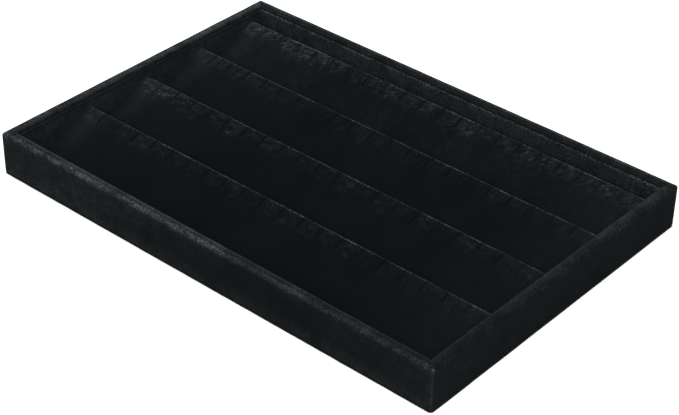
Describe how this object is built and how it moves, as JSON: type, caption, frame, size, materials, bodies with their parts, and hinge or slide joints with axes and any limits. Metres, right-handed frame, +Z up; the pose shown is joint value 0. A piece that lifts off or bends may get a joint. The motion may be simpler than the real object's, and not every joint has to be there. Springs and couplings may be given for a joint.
{
  "type": "jewelry tray",
  "caption": "Shallow rectangular display tray covered in black velvet, with sloped ramps whose rows of short slits hold earring cards, hooks and pendants.",
  "frame": {"origin": "middle of the underside, on the surface that the tray stands on", "axes": "+X along the length, +Y from the front to the back, the way the ramps rise, +Z up"},
  "size_m": [0.35, 0.24, 0.03],
  "materials": {
    "velvet": "short-pile velvet",
    "board": "raw fibreboard",
    "card": "grey board",
    "brad": "bright wire",
    "underside": "thin pressed felt"
  },
  "bodies": {
    "root": {"back_liner_card": "card", "back_liner_velvet": "velvet", "back_rail": "board", "back_rail_velvet": "velvet", "base_board": "board", "base_brads": "brad", "corner_brads": "brad", "floor_card": "card", "floor_velvet": "velvet", "front_liner_card": "card", "front_liner_velvet": "velvet", "front_rail": "board", "front_rail_velvet": "velvet", "left_liner_card": "card", "left_liner_velvet": "velvet", "left_rail": "board", "left_rail_velvet": "velvet", "ramp_card_1": "card", "ramp_card_2": "card", "ramp_card_3": "card", "ramp_card_4": "card", "ramp_velvet_1": "velvet", "ramp_velvet_2": "velvet", "ramp_velvet_3": "velvet", "ramp_velvet_4": "velvet", "right_liner_card": "card", "right_liner_velvet": "velvet", "right_rail": "board", "right_rail_velvet": "velvet", "underside_sheet": "underside"}
  },
  "joints": []
}
